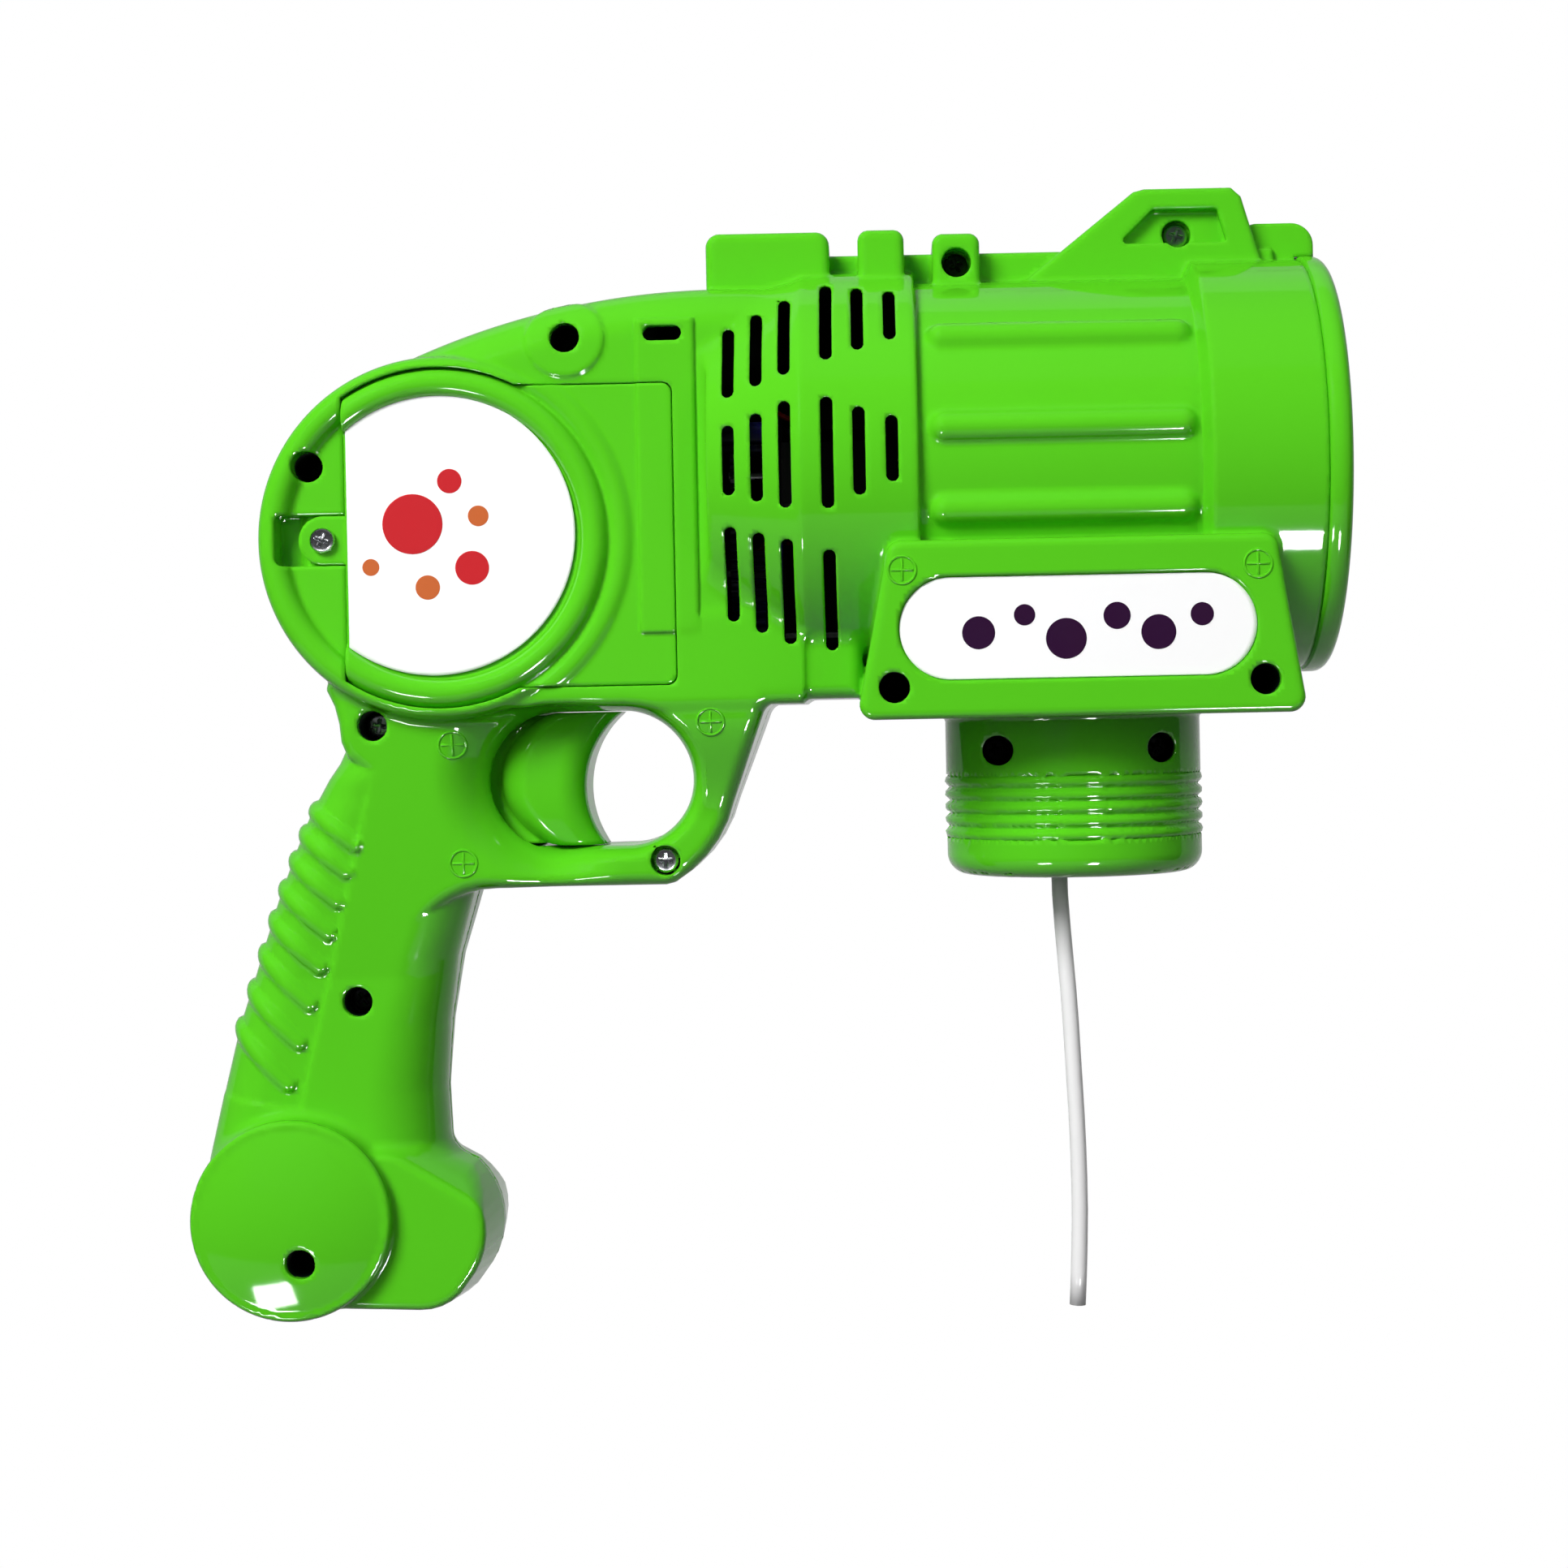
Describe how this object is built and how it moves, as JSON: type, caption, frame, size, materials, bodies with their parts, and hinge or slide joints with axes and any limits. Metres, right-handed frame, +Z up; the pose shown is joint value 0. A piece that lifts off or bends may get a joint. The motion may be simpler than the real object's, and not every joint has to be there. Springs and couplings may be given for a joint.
{
  "type": "bubble blower",
  "caption": "Pistol-shaped battery bubble blower with a vented barrel, sliding trigger, screwed battery cover, turning bubble wheel and a threaded bottle neck with dip tube.",
  "frame": {"origin": "middle of the hand grip, on the middle plane", "axes": "+X towards the muzzle along the barrel, +Z up, the side with the battery cover faces -Y"},
  "size_m": [0.2482, 0.0914, 0.2457],
  "materials": {
    "shell_green": "glossy moulded ABS",
    "zinc_steel": "zinc plated",
    "shaft_steel": "ground steel",
    "label_white": "printed film",
    "tray_dark": "moulded",
    "gear_white": "moulded acetal",
    "cell_gold": "printed sleeve",
    "contact_nickel": "nickel plated",
    "leaf_brass": "spring brass",
    "motor_can_steel": "drawn can",
    "fan_blue": "moulded",
    "wheel_orange": "moulded",
    "tube_clear": "translucent PVC",
    "seal_black": "moulded",
    "wire_red": "insulated wire"
  },
  "bodies": {
    "frame": {"right_shell": "shell_green", "left_shell": "shell_green", "muzzle_ring": "shell_green", "shell_screws": "zinc_steel", "plate_label": "label_white", "battery_tray": "tray_dark", "batteries": "cell_gold", "battery_contacts": "contact_nickel", "trigger_spring": "shaft_steel", "switch_base": "tray_dark", "switch_leaves": "leaf_brass", "motor_can": "motor_can_steel", "motor_end_cap": "gear_white", "gear_plate": "tray_dark", "gear_cover": "tray_dark", "idler_pin": "shaft_steel", "fan_duct": "tray_dark", "pump_housing": "gear_white", "pump_cover": "gear_white", "pump_hose": "tube_clear", "wheel_axle": "shaft_steel", "drip_tray": "gear_white", "bottle_socket": "shell_green", "socket_seal": "seal_black", "tube_nipple": "gear_white", "dip_tube": "tube_clear", "wires": "wire_red"},
    "cover": {"battery_cover": "shell_green", "cover_screw": "zinc_steel", "cover_label": "label_white"},
    "trigger": {"trigger": "shell_green"},
    "rotor": {"motor_shaft": "shaft_steel", "motor_pinion": "gear_white", "fan": "fan_blue"},
    "idler": {"idler_gear": "gear_white"},
    "layshaft": {"layshaft": "shaft_steel", "layshaft_gear": "gear_white", "pump_rotor": "gear_white", "wheel_pinion": "gear_white"},
    "wheel": {"bubble_wheel": "wheel_orange"}
  },
  "joints": [
    {"name": "cover_lift", "type": "slide", "parent": "frame", "child": "cover", "axis": [0, -1, 0], "range_m": [0, 0.03]},
    {"name": "trigger_pull", "type": "slide", "parent": "frame", "child": "trigger", "axis": [-1, 0, 0], "range_m": [0, 0.005], "stiffness_N_per_m": 300, "springref_m": -0.003, "deforming": ["trigger_spring"]},
    {"name": "layshaft_spin", "type": "hinge", "parent": "frame", "child": "layshaft", "pos_m": [0.094, 0, 0.072], "axis": [1, 0, 0], "continuous": true},
    {"name": "rotor_spin", "type": "hinge", "parent": "frame", "child": "rotor", "pos_m": [0.094, 0, 0.108], "axis": [1, 0, 0], "continuous": true},
    {"name": "idler_spin", "type": "hinge", "parent": "frame", "child": "idler", "pos_m": [0.094, 0.00264, 0.08631], "axis": [1, 0, 0], "continuous": true},
    {"name": "wheel_spin", "type": "hinge", "parent": "frame", "child": "wheel", "pos_m": [0.094, 0, 0.108], "axis": [1, 0, 0], "continuous": true}
  ],
  "couplings": [
    {"joint": "rotor_spin", "follows": "layshaft_spin", "ratio": 8.3333},
    {"joint": "idler_spin", "follows": "layshaft_spin", "ratio": -2},
    {"joint": "wheel_spin", "follows": "layshaft_spin", "ratio": -0.15385}
  ]
}
